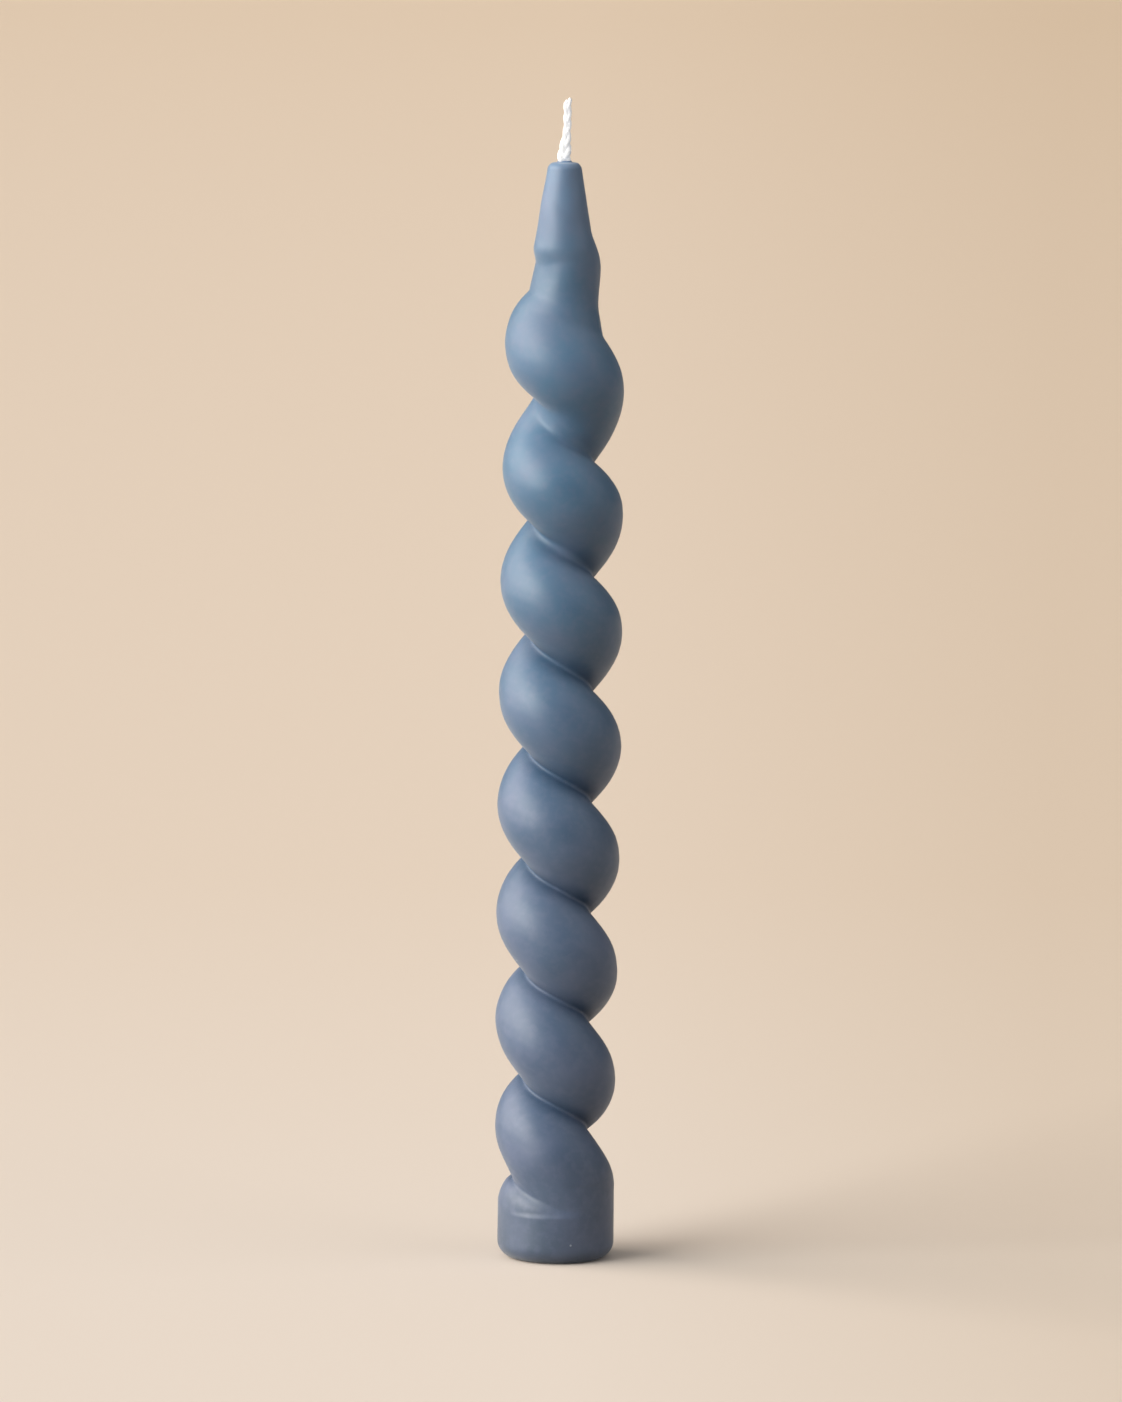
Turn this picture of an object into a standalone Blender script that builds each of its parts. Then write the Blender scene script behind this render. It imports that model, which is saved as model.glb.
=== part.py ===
"""A moulded taper candle: one poured wax body in the form of a coiled rope, and its wick of three strands.

The model is in metres, with +Z up and the origin at the centre of the foot's flat underside.
"""

import math

import bmesh
import bpy
import numpy as np

# Height of the wax, from the flat underside to the rim round the wick
WAX_HEIGHT = 0.20705

# Foot: a plain round plug with a rounded lower edge, and a long soft shoulder that rises most on the left.
# The mould holds the rope in to the plug's diameter up to a height, and lets it flare out above.
FOOT_DIAMETER = 0.0220
FOOT_HEIGHT = 0.0090
FOOT_EDGE_RADIUS = 0.0031
FOOT_SHOULDER_DEPTH = 0.0030
FOOT_SHOULDER_RISE_LEFT = 0.0063
FOOT_SHOULDER_RISE_RIGHT = 0.0008
FOOT_SHOULDER_FALL = 1.5
ROPE_HELD_HEIGHT = 0.0150
ROPE_FLARE = 0.5

# Coil: one round rope, wound to the left round the axis, whose turns fill the height from foot to neck.
# Its middle line sways off the axis so far that its first turn stands flush with the foot, but for an overhang.
COIL_TURNS = 8.36
COIL_START_ANGLE = math.radians(-77.0)
COIL_START_DEPTH = 0.0076
COIL_OVERHANG = 0.00005
PITCH_AT_FOOT = 0.0200
ROPE_DIAMETER_AT_FOOT = 0.0158
ROPE_DIAMETER_MIDWAY = 0.0168
ROPE_DIAMETER_AT_NECK = 0.0160
COIL_SWAY = (FOOT_DIAMETER - ROPE_DIAMETER_AT_FOOT) / 2.0 + COIL_OVERHANG
CREASE_FILLET = 0.0009

# Unevenness of the coil: how far it leans and tips, how far wax fills the rope out from below as it leaves
# the foot, and its squeezed first and stretched last turn
COIL_LEAN_AT_FOOT = -0.00043
COIL_LEAN_AT_NECK = 0.0003
LEAN_START_TURN = 0.42
LEAN_GROWTH_TURNS = 0.60
FILLED_TURNS = 0.82
FILL_FADE_TURNS = 0.36
TURN_TIP_AT_FOOT = -0.00123
TURN_TIP_AT_NECK = 0.00118
FIRST_TURN_SQUEEZE = 0.0029
SQUEEZE_START_TURN = 0.21
SQUEEZE_TURNS = 0.74
LAST_TURN_STRETCH = 0.0017
STRETCH_END_TURNS = 0.40
STRETCH_TURNS = 0.48

# Neck: a thinner rope that goes on turning the same way
NECK_DIAMETER = 0.0132
NECK_LENGTH = 0.0084
NECK_SWAY = 0.00094
NECK_LEAN = 0.00087
NECK_PITCH = 0.0239
NECK_TURN = math.radians(84.0)
NECK_SHOULDER_TIP = 0.0043
NECK_SHOULDER_RADIUS = 0.0278
COLLAR_FILLET = 0.0033

# Tip: a plain cone with a soft heel, a rounded top edge and a narrow flat lip round the wick
TIP_HEEL_RISE = 0.0070
TIP_HEEL_RADIUS = 0.0036
TIP_LENGTH = 0.01545
TIP_BASE_DIAMETER = 0.0111
TIP_EDGE_RADIUS = 0.0012
TIP_LIP_WIDTH = 0.00047
JOIN_FILLET = 0.0008

# Wick: three cotton strands, side by side in the wax and laid round each other above it
STRAND_COUNT = 3
STRAND_DIAMETER = 0.00085
STRAND_TIP_DIAMETER = 0.00064
STRAND_GAP = 0.0002
STRAND_LAY = 0.0135
WICK_FREE_LENGTH = 0.0121
WICK_LEAN = 0.0005
WICK_RECESS = 0.0006
STRAND_END_STEP = 0.0004
WICK_CLEARANCE = 0.0003

# Fineness of the meshes
COLUMNS = 36
ROW_SPACING = 0.0022
SCAN_SPACING = 0.0002
TURN_STEP = 0.01
ENVELOPE_SAMPLES = 41
EDGE_ROWS = 4
CHANNEL_SIDES = 16
CUTTER_OVERRUN = 0.005
STRAND_BEVEL = 2
STRAND_POINTS = 12
SHARP_ANGLE = math.radians(50.0)

WAX_COLOUR = (0.127, 0.181, 0.275, 1.0)
WAX_ROUGHNESS = 0.45
WICK_COLOUR = (0.90, 0.88, 0.84, 1.0)
WICK_ROUGHNESS = 0.90

FULL_TURN = 2.0 * math.pi


def remove_all_objects():
    for obj in list(bpy.data.objects):
        bpy.data.objects.remove(obj, do_unlink=True)


def make_material(name, colour, roughness):
    material = bpy.data.materials.new(name)
    material.use_nodes = True
    shader = material.node_tree.nodes["Principled BSDF"]
    shader.inputs["Base Color"].default_value = colour
    shader.inputs["Roughness"].default_value = roughness
    shader.inputs["Metallic"].default_value = 0.0
    return material


def ease(share):
    """A smooth step from 0 to 1."""
    share = np.clip(share, 0.0, 1.0)
    return share * share * (3.0 - 2.0 * share)


def fillet_join(first, second, width):
    """The outer of two faces, with a fillet where they lie within the width of each other."""
    near = np.clip(width - np.abs(first - second), 0.0, None)
    return np.maximum(first, second) + near**2 / (4.0 * width)


def round_edge(radius, past):
    """How far a rounded edge has drawn in, this far past the start of its rounding."""
    past = np.clip(past, 0.0, radius)
    return radius - np.sqrt(radius**2 - past**2)


def disc_reach(radius, distance, turn):
    """From the axis to the rim of a disc set off it, at this angle from the direction of its centre."""
    inside = radius**2 - (distance * np.sin(turn)) ** 2
    reach = distance * np.cos(turn) + np.sqrt(np.clip(inside, 0.0, None))
    return np.where((radius > 0.0) & (inside > 0.0), reach, 0.0)


def rope_angle(turns):
    """The rope runs clockwise, seen from above, as it rises: a left-hand coil."""
    return COIL_START_ANGLE - FULL_TURN * turns


def squeeze(turns):
    """1 in the first turn, where the coil is pressed into the foot, and 0 above it."""
    return 1.0 - ease((turns - SQUEEZE_START_TURN) / SQUEEZE_TURNS)


def filling(turns):
    """1 where the rope leaves the foot and wax fills it out from below, and 0 from the second turn up."""
    return 1.0 - ease((turns - FILLED_TURNS) / FILL_FADE_TURNS)


def tip_base_height():
    return WAX_HEIGHT - TIP_LENGTH


def coil_end_height():
    """Height of the rope's centre line where the coil ends and the neck starts."""
    return tip_base_height() - TIP_HEEL_RISE - NECK_LENGTH


def rope_height(turns):
    """Height of the rope's centre line after this many turns, before each turn is tipped.

    The pitch grows evenly from the foot, so that the last turn ends at the neck.
    """
    start = FOOT_HEIGHT - COIL_START_DEPTH - FIRST_TURN_SQUEEZE
    even_climb = coil_end_height() - LAST_TURN_STRETCH - start
    growth = 2.0 * (even_climb / COIL_TURNS - PITCH_AT_FOOT) / COIL_TURNS
    climb = PITCH_AT_FOOT * turns + growth * turns**2 / 2.0
    stretch_start = COIL_TURNS - STRETCH_END_TURNS - STRETCH_TURNS
    stretch = LAST_TURN_STRETCH * ease((turns - stretch_start) / STRETCH_TURNS)
    return start + climb + FIRST_TURN_SQUEEZE * squeeze(turns) + stretch


def rope_radius(turns):
    share = turns / COIL_TURNS
    ends = ROPE_DIAMETER_AT_FOOT + (ROPE_DIAMETER_AT_NECK - ROPE_DIAMETER_AT_FOOT) * share
    belly = ROPE_DIAMETER_MIDWAY - (ROPE_DIAMETER_AT_FOOT + ROPE_DIAMETER_AT_NECK) / 2.0
    return (ends + belly * 4.0 * share * (1.0 - share)) / 2.0


def turns_at(height):
    """The number of turns that the rope has made at a height."""
    turns = np.arange(-1.0, COIL_TURNS + 2.0, TURN_STEP)
    return np.interp(height, rope_height(turns), turns)


def branch_reach(angle, heights, middle_turns):
    """Reach of the rope's skin, swept by balls over half a turn each way from where it passes this angle."""
    reach = np.zeros_like(heights)
    for offset in np.linspace(-0.5, 0.5, ENVELOPE_SAMPLES):
        turns = np.clip(middle_turns + offset, 0.0, COIL_TURNS)
        tip = TURN_TIP_AT_FOOT + (TURN_TIP_AT_NECK - TURN_TIP_AT_FOOT) * turns / COIL_TURNS
        centre = rope_height(turns) + tip * np.cos(rope_angle(turns))
        radius = rope_radius(turns)
        below = centre - heights
        below = np.where(below > 0.0, below * (1.0 - filling(turns)), below)
        disc = np.sqrt(np.clip(radius**2 - below**2, 0.0, None))
        reach = np.maximum(reach, disc_reach(disc, COIL_SWAY, angle - rope_angle(turns)))
    on_rope = (middle_turns > -0.5) & (middle_turns < COIL_TURNS + 0.5)
    return np.where(on_rope, reach, 0.0)


def coil_reach(angle, heights):
    """Reach of the coil: the two nearest passes of the rope, filleted where they meet in the crease."""
    share = (COIL_START_ANGLE - angle) / FULL_TURN
    nearest = np.round(turns_at(heights) - share)
    passes = [branch_reach(angle, heights, share + nearest + step) for step in (-1.0, 0.0, 1.0)]
    passes = np.sort(np.array(passes), axis=0)
    coil = fillet_join(passes[2], passes[1], CREASE_FILLET)
    turns = turns_at(heights)
    height_share = np.clip(turns / COIL_TURNS, 0.0, 1.0)
    lean = COIL_LEAN_AT_FOOT + (COIL_LEAN_AT_NECK - COIL_LEAN_AT_FOOT) * height_share
    lean *= ease((turns - LEAN_START_TURN) / LEAN_GROWTH_TURNS)
    return np.where(coil > 0.0, coil + lean * math.cos(angle), 0.0)


def foot_reach(angle, heights):
    """Reach of the plug, whose shoulder is a quarter of an ellipse, taller on the left than on the right."""
    edge = round_edge(FOOT_EDGE_RADIUS, FOOT_EDGE_RADIUS - heights)
    left_share = ((1.0 - math.cos(angle)) / 2.0) ** FOOT_SHOULDER_FALL
    rise = FOOT_SHOULDER_RISE_RIGHT + (FOOT_SHOULDER_RISE_LEFT - FOOT_SHOULDER_RISE_RIGHT) * left_share
    climbed = (heights - FOOT_HEIGHT) / rise
    shoulder = FOOT_SHOULDER_DEPTH * round_edge(1.0, climbed)
    return np.where(climbed < 1.0, FOOT_DIAMETER / 2.0 - edge - shoulder, 0.0)


def hold_to_foot(reach, heights):
    """The mould's plain ring holds the wax flush with the foot, and lets the rope flare out above."""
    flare = ROPE_FLARE * np.clip(heights - ROPE_HELD_HEIGHT, 0.0, None)
    return np.minimum(reach, FOOT_DIAMETER / 2.0 + flare)


def neck_reach(angle, heights):
    """Reach of the neck, whose lower end is rounded and lies inside the coil."""
    coil_end = coil_end_height()
    rope_direction = rope_angle(COIL_TURNS) + NECK_TURN - FULL_TURN * (heights - coil_end) / NECK_PITCH
    past = heights - coil_end - NECK_LENGTH + NECK_SHOULDER_TIP * math.cos(angle)
    radius = np.clip(NECK_DIAMETER / 2.0 - round_edge(NECK_SHOULDER_RADIUS, past), 0.0, None)
    below_start = np.clip(coil_end - ROPE_DIAMETER_AT_NECK / 2.0 - heights, 0.0, None)
    disc = np.sqrt(np.clip(radius**2 - below_start**2, 0.0, None))
    neck = disc_reach(disc, NECK_SWAY, angle - rope_direction)
    return np.where(neck > 0.0, neck + NECK_LEAN * math.cos(angle), 0.0)


def strand_ring(diameter):
    """Distance from the wick's middle to each strand's, so that the strands clear each other by their gap."""
    return (diameter + STRAND_GAP) / (2.0 * math.sin(math.pi / STRAND_COUNT))


def channel_radius():
    """The hole that the wick fills, round all its strands."""
    return strand_ring(STRAND_DIAMETER) + STRAND_DIAMETER / 2.0 + WICK_CLEARANCE


def tip_reach(heights):
    above_base = heights - tip_base_height()
    top_radius = channel_radius() + TIP_LIP_WIDTH + TIP_EDGE_RADIUS
    slope = (TIP_BASE_DIAMETER / 2.0 - top_radius) / TIP_LENGTH
    heel = np.clip(-above_base, 0.0, None) ** 2 / (2.0 * TIP_HEEL_RADIUS)
    edge = round_edge(TIP_EDGE_RADIUS, above_base - (TIP_LENGTH - TIP_EDGE_RADIUS))
    return np.clip(TIP_BASE_DIAMETER / 2.0 - slope * above_base - heel - edge, 0.0, None)


def wax_reach(angle, heights):
    """Distance from the candle's axis to the wax's outer face."""
    foot = foot_reach(angle, heights)
    lower = hold_to_foot(fillet_join(foot, coil_reach(angle, heights), JOIN_FILLET), heights)
    upper = fillet_join(neck_reach(angle, heights), tip_reach(heights), JOIN_FILLET)
    outer = fillet_join(lower, upper, COLLAR_FILLET)
    return np.where(heights < FOOT_HEIGHT, foot, outer)


def crease_heights(angle):
    """Heights at which the coil is narrowest on this side, from the foot to the neck."""
    heights = np.arange(FOOT_HEIGHT, coil_end_height() + NECK_LENGTH, SCAN_SPACING)
    reach = wax_reach(angle, heights)
    narrowest = (reach[1:-1] < reach[:-2]) & (reach[1:-1] <= reach[2:])
    return list(heights[1:-1][narrowest])


def edge_heights(radius):
    """Heights over a rounded edge, at equal steps round its quarter circle, from 0 to its radius."""
    return [radius * (1.0 - math.cos(math.pi / 2.0 * step / EDGE_ROWS)) for step in range(EDGE_ROWS + 1)]


def column_heights(angle):
    """Heights of the rows on one side of the wax: rows crowd together at each crease and follow it."""
    stops = [FOOT_EDGE_RADIUS, FOOT_HEIGHT] + crease_heights(angle)
    stops += [tip_base_height(), WAX_HEIGHT - TIP_EDGE_RADIUS]
    heights = edge_heights(FOOT_EDGE_RADIUS)
    for low, high in zip(stops, stops[1:]):
        steps = max(1, round((high - low) / ROW_SPACING))
        shares = [(1.0 - math.cos(math.pi * step / steps)) / 2.0 for step in range(1, steps + 1)]
        heights += [low + (high - low) * share for share in shares]
    heights += [WAX_HEIGHT - rise for rise in reversed(edge_heights(TIP_EDGE_RADIUS))][1:]
    return np.array(heights)


def stitch(bm, left, right):
    """Fills the strip between two columns of points with triangles, always stepping up on the lower side."""
    left_row = 0
    right_row = 0
    while left_row < len(left) - 1 or right_row < len(right) - 1:
        left_done = left_row == len(left) - 1
        right_done = right_row == len(right) - 1
        step_left = right_done
        if not left_done and not right_done:
            step_left = left[left_row + 1].co.z < right[right_row + 1].co.z
        if step_left:
            bm.faces.new((left[left_row], right[right_row], left[left_row + 1]))
            left_row += 1
        else:
            bm.faces.new((left[left_row], right[right_row], right[right_row + 1]))
            right_row += 1


def wax_mesh():
    bm = bmesh.new()
    columns = []
    for column in range(COLUMNS):
        angle = FULL_TURN * column / COLUMNS
        heights = column_heights(angle)
        side = zip(heights, wax_reach(angle, heights))
        columns.append([bm.verts.new((r * math.cos(angle), r * math.sin(angle), z)) for z, r in side])
    for left, right in zip(columns, columns[1:] + columns[:1]):
        stitch(bm, left, right)
    bm.faces.new([column[0] for column in reversed(columns)])
    bm.faces.new([column[-1] for column in columns])
    mesh = bpy.data.meshes.new("wax_body")
    bm.to_mesh(mesh)
    bm.free()
    return mesh


def cut_wick_channel(wax):
    """Cuts the wick's straight channel right through the wax."""
    bm = bmesh.new()
    bmesh.ops.create_cone(
        bm,
        cap_ends=True,
        segments=CHANNEL_SIDES,
        radius1=channel_radius(),
        radius2=channel_radius(),
        depth=WAX_HEIGHT + 2.0 * CUTTER_OVERRUN,
    )
    bmesh.ops.translate(bm, vec=(0.0, 0.0, WAX_HEIGHT / 2.0), verts=bm.verts)
    mesh = bpy.data.meshes.new("wick_channel")
    bm.to_mesh(mesh)
    bm.free()
    channel = bpy.data.objects.new("wick_channel", mesh)
    bpy.context.scene.collection.objects.link(channel)
    channel.hide_render = True
    channel.display_type = "WIRE"
    cut = wax.modifiers.new("wick_channel", "BOOLEAN")
    cut.operation = "DIFFERENCE"
    cut.solver = "EXACT"
    cut.object = channel


def make_wax_body():
    mesh = wax_mesh()
    mesh.materials.append(make_material("dyed_wax", WAX_COLOUR, WAX_ROUGHNESS))
    mesh.shade_smooth()
    mesh.set_sharp_from_angle(angle=SHARP_ANGLE)
    wax = bpy.data.objects.new("wax_body", mesh)
    bpy.context.scene.collection.objects.link(wax)
    cut_wick_channel(wax)


def strand_points(index):
    """Points and radii along one strand: straight up through the wax, then a gentle lay that leans to +X."""
    start = FULL_TURN * index / STRAND_COUNT
    ring = strand_ring(STRAND_DIAMETER)
    points = [(ring * math.cos(start), ring * math.sin(start), WICK_RECESS, STRAND_DIAMETER / 2.0)]
    free = WICK_FREE_LENGTH - STRAND_END_STEP * index
    for step in range(STRAND_POINTS + 1):
        rise = free * step / STRAND_POINTS
        share = rise / WICK_FREE_LENGTH
        diameter = STRAND_DIAMETER + (STRAND_TIP_DIAMETER - STRAND_DIAMETER) * share
        angle = start + FULL_TURN * rise / STRAND_LAY
        ring = strand_ring(diameter)
        middle = WICK_LEAN * float(ease(share))
        x = middle + ring * math.cos(angle)
        y = ring * math.sin(angle)
        points.append((x, y, WAX_HEIGHT + rise, diameter / 2.0))
    return points


def make_strand(index, material):
    name = f"wick_strand_{index + 1}"
    curve = bpy.data.curves.new(name, "CURVE")
    curve.dimensions = "3D"
    curve.bevel_depth = 1.0
    curve.bevel_resolution = STRAND_BEVEL
    curve.use_fill_caps = True
    points = strand_points(index)
    spline = curve.splines.new("POLY")
    spline.points.add(len(points) - 1)
    for point, (x, y, z, radius) in zip(spline.points, points):
        point.co = (x, y, z, 1.0)
        point.radius = radius
    curve.materials.append(material)
    strand = bpy.data.objects.new(name, curve)
    bpy.context.scene.collection.objects.link(strand)


def main():
    remove_all_objects()
    make_wax_body()
    cotton = make_material("wick_cotton", WICK_COLOUR, WICK_ROUGHNESS)
    for index in range(STRAND_COUNT):
        make_strand(index, cotton)


main()
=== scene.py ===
"""Looks of a twisted taper candle: dusty blue moulded paraffin round a white plaited cotton wick.

The wax is one casting in the form of a rope coiled to the left, on a plain round foot, with a short neck and
a plain cone above. The wick is three cotton strands, plaited and primed with wax. Lengths are in metres, with
+Z up and the origin at the middle of the foot's flat underside.
"""

import logging
import math
from dataclasses import dataclass, field
from enum import Enum
from typing import Any

import bpy
import numpy as np
from mathutils import Matrix, Vector


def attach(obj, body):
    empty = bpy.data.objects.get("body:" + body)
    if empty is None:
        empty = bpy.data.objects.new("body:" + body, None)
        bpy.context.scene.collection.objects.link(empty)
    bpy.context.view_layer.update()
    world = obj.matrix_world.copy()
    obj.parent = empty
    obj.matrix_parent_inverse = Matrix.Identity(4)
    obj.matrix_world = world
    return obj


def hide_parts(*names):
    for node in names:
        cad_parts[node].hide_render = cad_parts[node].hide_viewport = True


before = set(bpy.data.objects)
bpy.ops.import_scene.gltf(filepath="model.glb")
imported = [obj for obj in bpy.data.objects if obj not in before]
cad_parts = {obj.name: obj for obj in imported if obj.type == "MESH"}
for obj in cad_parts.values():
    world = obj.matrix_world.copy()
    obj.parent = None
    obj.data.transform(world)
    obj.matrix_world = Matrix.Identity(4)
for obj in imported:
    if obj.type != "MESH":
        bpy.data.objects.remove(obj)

log = logging.getLogger("candle")

Colour = tuple[float, float, float, float]
Socket = bpy.types.NodeSocket
Tree = bpy.types.NodeTree

MM = 0.001
FULL_TURN = 2.0 * math.pi
BODY = "root"


class Hand(Enum):
    """Which way a rope or a yarn winds as it rises, seen from above."""

    LEFT = -1.0
    RIGHT = 1.0


class Side(Enum):
    """Where a light stands round the candle, as degrees from straight in front towards the left."""

    RIGHT = -70.0
    LEFT_FRONT = 57.0
    LEFT_BACK = 100.0


def linear_colour(code: str) -> Colour:
    """Turns an sRGB hex colour to the linear colour that a shader takes.

    Args:
        code: The colour as "#rrggbb".

    Returns:
        Red, green and blue as linear light, and an alpha of 1.
    """
    parts = [int(code[start : start + 2], 16) / 255.0 for start in (1, 3, 5)]
    light = [part / 12.92 if part <= 0.04045 else ((part + 0.055) / 1.055) ** 2.4 for part in parts]
    return (light[0], light[1], light[2], 1.0)


def add_node(tree: Tree, kind: str, inputs: dict[Any, Any] | None = None, **settings: Any) -> bpy.types.Node:
    """Adds one node, with its settings, and fills its inputs with values or links.

    Args:
        tree: The node tree that the node goes into.
        kind: The node's type, as Blender names it.
        inputs: Values or other nodes' output sockets, by input name or number.
        settings: The node's own properties.

    Returns:
        The new node.
    """
    node = tree.nodes.new(kind)
    for name, value in settings.items():
        setattr(node, name, value)
    for socket, value in (inputs or {}).items():
        if isinstance(value, Socket):
            tree.links.new(value, node.inputs[socket])
        else:
            node.inputs[socket].default_value = value
    return node


def new_tree(name: str) -> tuple[bpy.types.Material, Tree]:
    """Makes an empty node material.

    Args:
        name: The material's name.

    Returns:
        The material and its node tree.
    """
    material = bpy.data.materials.new(name)
    material.use_nodes = True
    material.node_tree.nodes.clear()
    return material, material.node_tree


def noise(tree: Tree, place: Socket, size: float, detail: float) -> Socket:
    """Adds soft noise.

    Args:
        tree: The node tree that the noise goes into.
        place: Where each point lies.
        size: Size of the largest lumps.
        detail: How many finer layers lie over them.

    Returns:
        The noise, mostly between 0 and 1.
    """
    inputs = {"Vector": place, "Scale": 1.0 / size, "Detail": detail}
    return add_node(tree, "ShaderNodeTexNoise", inputs).outputs["Fac"]


def remap(tree: Tree, value: Socket, source: tuple[float, float], target: tuple[float, float]) -> Socket:
    """Carries a value from one range over to another, and holds it there.

    Args:
        tree: The node tree that the step goes into.
        value: The value.
        source: The range that it comes from.
        target: The range that it goes to.

    Returns:
        The value in its new range.
    """
    inputs = {
        "Value": value,
        "From Min": source[0],
        "From Max": source[1],
        "To Min": target[0],
        "To Max": target[1],
    }
    return add_node(tree, "ShaderNodeMapRange", inputs).outputs["Result"]


def mix_colours(
    tree: Tree, share: Socket, first: Socket | Colour, second: Colour, blend: str = "MIX"
) -> Socket:
    """Lays one colour over another.

    Args:
        tree: The node tree that the mix goes into.
        share: How much of the second colour there is.
        first: The colour underneath.
        second: The colour on top.
        blend: How the second goes over the first, as Blender names it.

    Returns:
        The mixed colour.
    """
    inputs = {"Factor": share, "A": first, "B": second}
    return add_node(tree, "ShaderNodeMix", inputs, data_type="RGBA", blend_type=blend).outputs["Result"]


def shade(tree: Tree, share: Socket, tones: tuple[tuple[float, str], ...]) -> Socket:
    """Adds a ramp of colours.

    Args:
        tree: The node tree that the ramp goes into.
        share: Place on the ramp, from 0 to 1.
        tones: Place and hex colour of each stop, from the first to the last.

    Returns:
        The colour at that place.
    """
    ramp = add_node(tree, "ShaderNodeValToRGB", {"Fac": share})
    stops = ramp.color_ramp.elements
    for place, code in tones[1:-1]:
        stops.new(place).color = linear_colour(code)
    for end in (0, -1):
        stops[end].position = tones[end][0]
        stops[end].color = linear_colour(tones[end][1])
    return ramp.outputs["Color"]


def bump(tree: Tree, height: Socket, size: tuple[float, float], under: Socket | None = None) -> Socket:
    """Roughens a surface.

    Args:
        tree: The node tree that the bump goes into.
        height: The pattern that rises and falls.
        size: How strongly it shows, and how far it rises.
        under: A coarser bump that this one lies on.

    Returns:
        The roughened surface's normal.
    """
    inputs = {"Height": height, "Strength": size[0], "Distance": size[1]}
    if under is not None:
        inputs["Normal"] = under
    return add_node(tree, "ShaderNodeBump", inputs).outputs["Normal"]


def ease(share: np.ndarray | float) -> np.ndarray:
    """Returns a smooth step from 0 to 1."""
    share = np.clip(share, 0.0, 1.0)
    return share * share * (3.0 - 2.0 * share)


def fillet_join(first: np.ndarray, second: np.ndarray, width: float) -> np.ndarray:
    """Joins two faces with a fillet.

    Args:
        first: Reach of one face.
        second: Reach of the other.
        width: How near each other they are where the fillet starts.

    Returns:
        The outer of the two faces, filled out where they meet.
    """
    near = np.clip(width - np.abs(first - second), 0.0, None)
    return np.maximum(first, second) + near**2 / (4.0 * width)


def round_edge(radius: float, past: np.ndarray) -> np.ndarray:
    """Draws a face in over a rounded edge.

    Args:
        radius: Radius of the edge.
        past: How far past the start of the rounding each point lies.

    Returns:
        How far the face has drawn in.
    """
    past = np.clip(past, 0.0, radius)
    return radius - np.sqrt(radius**2 - past**2)


def disc_reach(radius: np.ndarray, distance: float, turn: np.ndarray) -> np.ndarray:
    """Measures from the axis to the rim of a disc that is set off the axis.

    Args:
        radius: Radius of the disc.
        distance: How far its centre lies from the axis.
        turn: Angle from the direction of its centre.

    Returns:
        The reach, or 0 where the disc isn't.
    """
    inside = radius**2 - (distance * np.sin(turn)) ** 2
    reach = distance * np.cos(turn) + np.sqrt(np.clip(inside, 0.0, None))
    return np.where((radius > 0.0) & (inside > 0.0), reach, 0.0)


def on_circle(radius: np.ndarray | float, angles: np.ndarray, heights: np.ndarray | float) -> np.ndarray:
    """Places points round the axis.

    Args:
        radius: How far each point lies from the axis.
        angles: Direction of each point from the axis.
        heights: Height of each point.

    Returns:
        The x, y and z of each point, along the last axis.
    """
    return np.stack(np.broadcast_arrays(radius * np.cos(angles), radius * np.sin(angles), heights), axis=-1)


def tube_faces(rings: int, sides: int, closed: bool) -> list[tuple[int, ...]]:
    """Lists the faces of a tube of rings of points.

    Args:
        rings: How many rings there are, one after the other.
        sides: How many points each ring has.
        closed: Whether the first and last ring get a flat face of their own.

    Returns:
        Each face as the numbers of its points.
    """
    faces: list[tuple[int, ...]] = []
    for ring in range(rings - 1):
        low, high = ring * sides, (ring + 1) * sides
        for side in range(sides):
            after = (side + 1) % sides
            faces.append((low + side, low + after, high + after, high + side))
    if closed:
        faces.append(tuple(reversed(range(sides))))
        faces.append(tuple(range((rings - 1) * sides, rings * sides)))
    return faces


def show_mesh(name: str, points: np.ndarray, faces: list[tuple[int, ...]]) -> bpy.types.Object:
    """Makes a smooth-shaded object of a mesh.

    Args:
        name: The piece's name.
        points: One row of x, y and z for each point.
        faces: Each face as the numbers of its points.

    Returns:
        The new object, linked to the scene.
    """
    mesh = bpy.data.meshes.new(name)
    mesh.from_pydata(points.tolist(), [], faces)
    mesh.shade_smooth()
    mesh.update()
    obj = bpy.data.objects.new(name, mesh)
    bpy.context.scene.collection.objects.link(obj)
    return obj


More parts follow.
